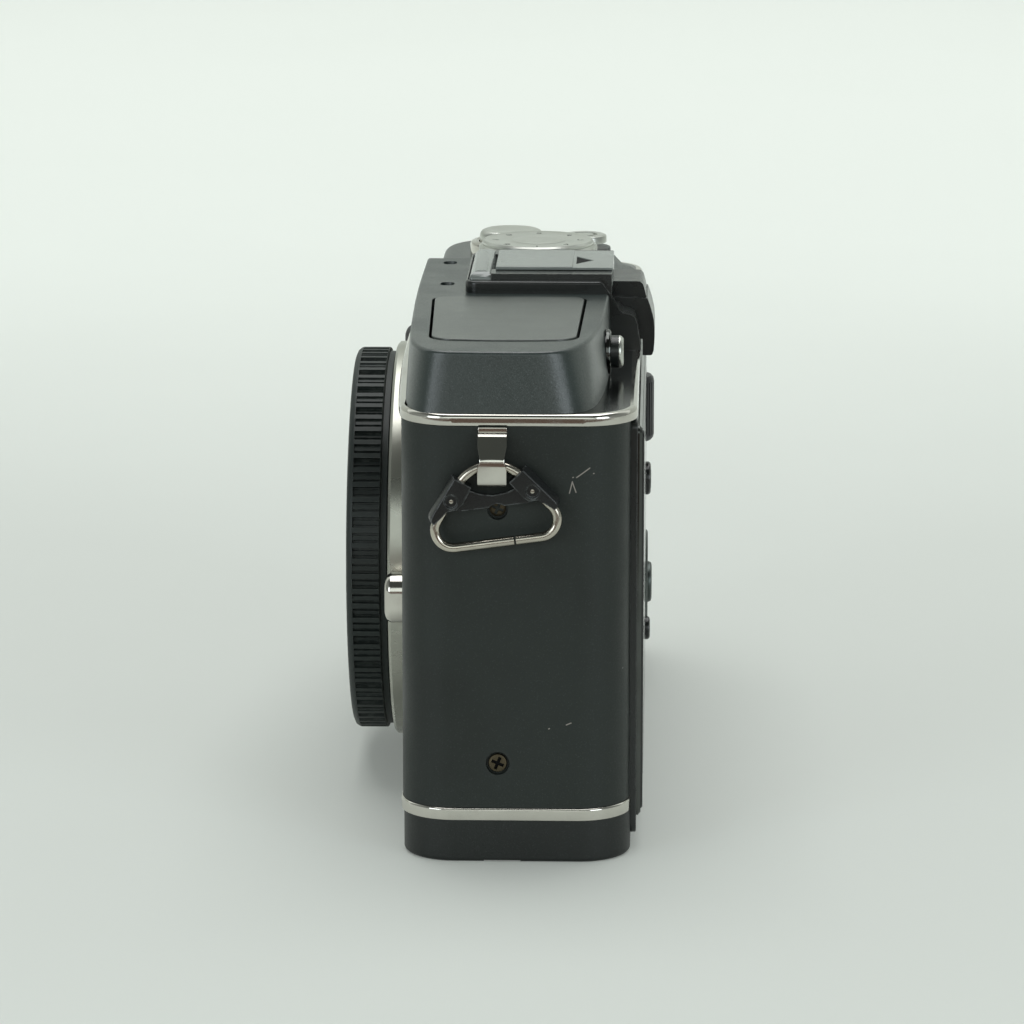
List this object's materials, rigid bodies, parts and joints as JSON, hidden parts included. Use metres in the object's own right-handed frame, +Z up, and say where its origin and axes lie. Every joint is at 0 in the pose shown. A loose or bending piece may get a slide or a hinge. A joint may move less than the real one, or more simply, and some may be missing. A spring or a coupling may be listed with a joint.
{
  "type": "mirrorless camera body",
  "caption": "Flat black compact system camera body with chrome trims, capped lens mount, pop-up flash, hot shoe, rear display and strap rings.",
  "frame": {"origin": "mouth of the tripod socket in the middle of the base, straight below the lens axis", "axes": "+X along the body towards the end with the flash, +Y rearwards towards the display (the lens mount faces -Y), +Z up"},
  "size_m": [0.1294, 0.0409, 0.0691],
  "materials": {
    "body_paint": "satin black paint with a fine metallic sparkle",
    "trim_chrome": "polished",
    "mount_steel": "satin turned",
    "cap_plastic": "moulded matte black",
    "black_plastic": "moulded satin black",
    "control_metal": "turned, satin",
    "dark_metal": "dark plated",
    "plain_steel": "plain",
    "grip_rubber": "grained soft black",
    "contact_gilt": "gilt",
    "cover_glass": "black display glass",
    "filter_glass": "coated",
    "window_plastic": "frosted clear",
    "lamp_plastic": "amber window",
    "sensor_chip": "silicon with a ceramic rim",
    "circuit_board": "circuit board with black chips",
    "inner_plastic": "plain moulding",
    "cell_plastic": "wrapped cell, card"
  },
  "bodies": {
    "camera": {"body_shell": "body_paint", "base_plate": "body_paint", "top_cover": "body_paint", "hot_shoe": "body_paint", "lower_trim": "trim_chrome", "upper_trim": "trim_chrome", "strap_lugs": "trim_chrome", "button_collars": "trim_chrome", "lens_mount_ring": "mount_steel", "rear_cover": "black_plastic", "shoe_plinth": "black_plastic", "display_frame": "black_plastic", "light_box": "black_plastic", "shutter_frame": "dark_metal", "hinge_pins": "plain_steel", "screws": "plain_steel", "chassis": "plain_steel", "tripod_socket": "plain_steel", "front_grip": "grip_rubber", "thumb_rest": "grip_rubber", "contact_pins": "contact_gilt", "display_glass": "cover_glass", "sensor_filter": "filter_glass", "af_lamp": "lamp_plastic", "image_sensor": "sensor_chip", "main_board": "circuit_board", "battery_box": "inner_plastic", "connectors": "inner_plastic", "flash_capacitor": "inner_plastic", "battery": "cell_plastic", "memory_card": "cell_plastic"},
    "body_cap": {"body_cap": "cap_plastic"},
    "lens_release_button": {"lens_release_button": "control_metal"},
    "lens_lock_pin": {"lens_lock_pin": "plain_steel"},
    "shutter_blades": {"shutter_blades": "dark_metal"},
    "battery_door": {"battery_door": "black_plastic"},
    "battery_latch": {"battery_latch": "black_plastic"},
    "port_door": {"port_door": "black_plastic"},
    "hot_shoe_cover": {"hot_shoe_cover": "black_plastic"},
    "accessory_port_cover": {"accessory_port_cover": "black_plastic"},
    "flash_arm": {"flash_arm": "plain_steel"},
    "flash_head": {"flash_head": "body_paint", "flash_window": "window_plastic"},
    "flash_button": {"flash_button": "control_metal"},
    "mode_dial": {"mode_dial": "control_metal"},
    "shutter_button": {"shutter_button": "control_metal"},
    "power_button": {"power_button": "control_metal"},
    "function_button": {"function_button": "black_plastic"},
    "control_roller": {"control_roller": "dark_metal"},
    "control_wheel": {"control_wheel": "control_metal"},
    "ok_button": {"ok_button": "control_metal"},
    "menu_button": {"menu_button": "black_plastic"},
    "info_button": {"info_button": "black_plastic"},
    "play_button": {"play_button": "black_plastic"},
    "delete_button": {"delete_button": "black_plastic"},
    "magnify_button": {"magnify_button": "black_plastic"},
    "strap_ring_near": {"strap_ring_near": "trim_chrome", "ring_guard_near": "black_plastic"},
    "strap_ring_far": {"strap_ring_far": "trim_chrome", "ring_guard_far": "black_plastic"}
  },
  "joints": [
    {"name": "cap_pull", "type": "slide", "parent": "camera", "child": "body_cap", "axis": [0, -1, 0], "range_m": [0, 0.025]},
    {"name": "lens_release_press", "type": "slide", "parent": "camera", "child": "lens_release_button", "axis": [0, 1, 0], "range_m": [0, 0.0015], "stiffness_N_per_m": 1000, "springref_m": -0.0003},
    {"name": "lock_pin_draw", "type": "slide", "parent": "camera", "child": "lens_lock_pin", "axis": [0, 1, 0], "range_m": [0, 0.0015]},
    {"name": "shutter_travel", "type": "slide", "parent": "camera", "child": "shutter_blades", "axis": [0, 0, 1], "range_m": [0, 0.0149]},
    {"name": "battery_door_hinge", "type": "hinge", "parent": "camera", "child": "battery_door", "pos_m": [-0.0237, -0.0025, 0.00095], "axis": [0, -1, 0], "range_deg": [0, 90]},
    {"name": "battery_latch_slide", "type": "slide", "parent": "battery_door", "child": "battery_latch", "axis": [-1, 0, 0], "range_m": [0, 0.0007]},
    {"name": "port_door_hinge", "type": "hinge", "parent": "camera", "child": "port_door", "pos_m": [-0.0637, -0.0056, 0.0295], "axis": [0, 0, 1], "range_deg": [0, 90]},
    {"name": "shoe_cover_slide", "type": "slide", "parent": "camera", "child": "hot_shoe_cover", "axis": [0, 1, 0], "range_m": [0, 0.018]},
    {"name": "port_cover_pull", "type": "slide", "parent": "camera", "child": "accessory_port_cover", "axis": [0, 1, 0], "range_m": [0, 0.008]},
    {"name": "flash_arm_hinge", "type": "hinge", "parent": "camera", "child": "flash_arm", "pos_m": [0.031, 0.0035, 0.0612], "axis": [-1, 0, 0], "range_deg": [0, 60]},
    {"name": "flash_head_hinge", "type": "hinge", "parent": "flash_arm", "child": "flash_head", "pos_m": [0.031, -0.008, 0.0612], "axis": [-1, 0, 0], "range_deg": [-60, 0]},
    {"name": "flash_button_press", "type": "slide", "parent": "camera", "child": "flash_button", "axis": [0, -1, 0], "range_m": [0, 0.0008], "stiffness_N_per_m": 1250, "springref_m": -0.0003},
    {"name": "mode_dial_turn", "type": "hinge", "parent": "camera", "child": "mode_dial", "pos_m": [-0.027, 0.0004, 0.065], "axis": [0, 0, 1], "continuous": true},
    {"name": "shutter_button_press", "type": "slide", "parent": "camera", "child": "shutter_button", "axis": [0, 0, -1], "range_m": [0, 0.0012], "stiffness_N_per_m": 833.3, "springref_m": -0.0003},
    {"name": "power_button_press", "type": "slide", "parent": "camera", "child": "power_button", "axis": [0, 0, -1], "range_m": [0, 0.0006], "stiffness_N_per_m": 1666.7, "springref_m": -0.0003},
    {"name": "function_button_press", "type": "slide", "parent": "camera", "child": "function_button", "axis": [0, 0, -1], "range_m": [0, 0.0006], "stiffness_N_per_m": 1666.7, "springref_m": -0.0003},
    {"name": "roller_turn", "type": "hinge", "parent": "camera", "child": "control_roller", "pos_m": [-0.033, 0.0132, 0.0422], "axis": [0, 0, 1], "continuous": true},
    {"name": "wheel_turn", "type": "hinge", "parent": "camera", "child": "control_wheel", "pos_m": [-0.041, 0.014, 0.0145], "axis": [0, 1, 0], "continuous": true},
    {"name": "ok_button_press", "type": "slide", "parent": "camera", "child": "ok_button", "axis": [0, -1, 0], "range_m": [0, 0.0005], "stiffness_N_per_m": 1600, "springref_m": -0.0003},
    {"name": "menu_button_press", "type": "slide", "parent": "camera", "child": "menu_button", "axis": [0, -1, 0], "range_m": [0, 0.0005], "stiffness_N_per_m": 1600, "springref_m": -0.0003},
    {"name": "info_button_press", "type": "slide", "parent": "camera", "child": "info_button", "axis": [0, -1, 0], "range_m": [0, 0.0005], "stiffness_N_per_m": 1600, "springref_m": -0.0003},
    {"name": "play_button_press", "type": "slide", "parent": "camera", "child": "play_button", "axis": [0, -1, 0], "range_m": [0, 0.0005], "stiffness_N_per_m": 1600, "springref_m": -0.0003},
    {"name": "delete_button_press", "type": "slide", "parent": "camera", "child": "delete_button", "axis": [0, -1, 0], "range_m": [0, 0.0005], "stiffness_N_per_m": 1600, "springref_m": -0.0003},
    {"name": "magnify_button_press", "type": "slide", "parent": "camera", "child": "magnify_button", "axis": [0, -1, 0], "range_m": [0, 0.0005], "stiffness_N_per_m": 1600, "springref_m": -0.0003},
    {"name": "ring_swing_near", "type": "hinge", "parent": "camera", "child": "strap_ring_near", "pos_m": [0.0592, -0.00363, 0.05195], "axis": [0, -1, 0], "range_deg": [-6, 90]},
    {"name": "ring_swing_far", "type": "hinge", "parent": "camera", "child": "strap_ring_far", "pos_m": [-0.0662, -0.00363, 0.05195], "axis": [0, 1, 0], "range_deg": [-6, 90]}
  ],
  "couplings": [
    {"joint": "lock_pin_draw", "follows": "lens_release_press", "ratio": 1},
    {"joint": "flash_head_hinge", "follows": "flash_arm_hinge", "ratio": -1}
  ]
}
